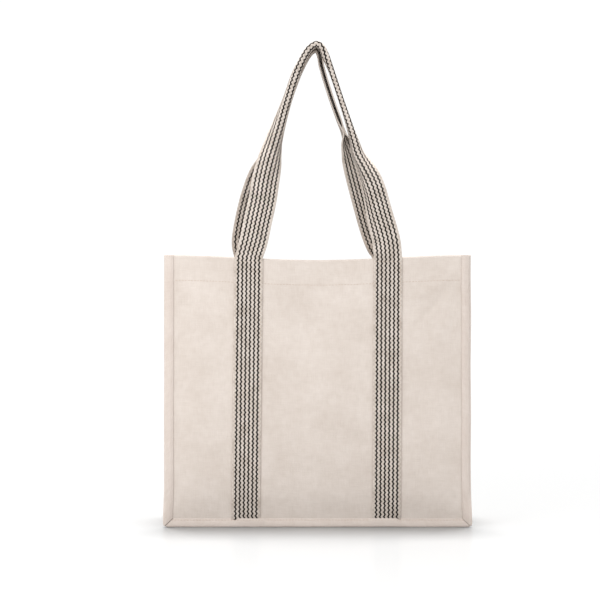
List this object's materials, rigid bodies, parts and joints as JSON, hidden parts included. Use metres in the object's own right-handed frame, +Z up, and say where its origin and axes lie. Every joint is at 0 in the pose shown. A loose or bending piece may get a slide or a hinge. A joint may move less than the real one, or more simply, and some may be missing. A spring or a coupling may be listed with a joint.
{
  "type": "canvas tote bag",
  "caption": "Upright open canvas tote bag with bound outside seams and two striped webbing shoulder handles sewn down the front and rear panels.",
  "frame": {"origin": "on the floor under the middle of the standing bag", "axes": "+Z up through the open mouth, -Y out of the front panel, +X to the right as the front is seen"},
  "size_m": [0.4, 0.1316, 0.6431],
  "materials": {
    "canvas": "plain-woven natural cotton canvas, matt, softly creased",
    "hem_canvas": "the same canvas turned in and sewn down, matt",
    "binding_tape": "folded canvas tape, top-stitched, slightly puckered",
    "striped_webbing": "cream cotton webbing with six dark zigzag warp lines, ribbed"
  },
  "bodies": {
    "bag_body": {"front_panel": "canvas", "rear_panel": "canvas", "left_gusset": "canvas", "right_gusset": "canvas", "base_panel": "canvas", "front_top_hem": "hem_canvas", "rear_top_hem": "hem_canvas", "left_top_hem": "hem_canvas", "right_top_hem": "hem_canvas", "front_left_binding": "binding_tape", "front_right_binding": "binding_tape", "front_bottom_binding": "binding_tape", "rear_left_binding": "binding_tape", "rear_right_binding": "binding_tape", "rear_bottom_binding": "binding_tape", "front_left_sewn_strap": "striped_webbing", "front_right_sewn_strap": "striped_webbing", "rear_left_sewn_strap": "striped_webbing", "rear_right_sewn_strap": "striped_webbing"},
    "front_handle": {"front_handle_webbing": "striped_webbing"},
    "rear_handle": {"rear_handle_webbing": "striped_webbing"}
  },
  "joints": [
    {"name": "front_handle_swing", "type": "hinge", "parent": "bag_body", "child": "front_handle", "pos_m": [0, -0.0663, 0.3524], "axis": [1, 0, 0], "range_deg": [0, 175]},
    {"name": "rear_handle_swing", "type": "hinge", "parent": "bag_body", "child": "rear_handle", "pos_m": [0, 0.0663, 0.3524], "axis": [-1, 0, 0], "range_deg": [0, 175]}
  ]
}
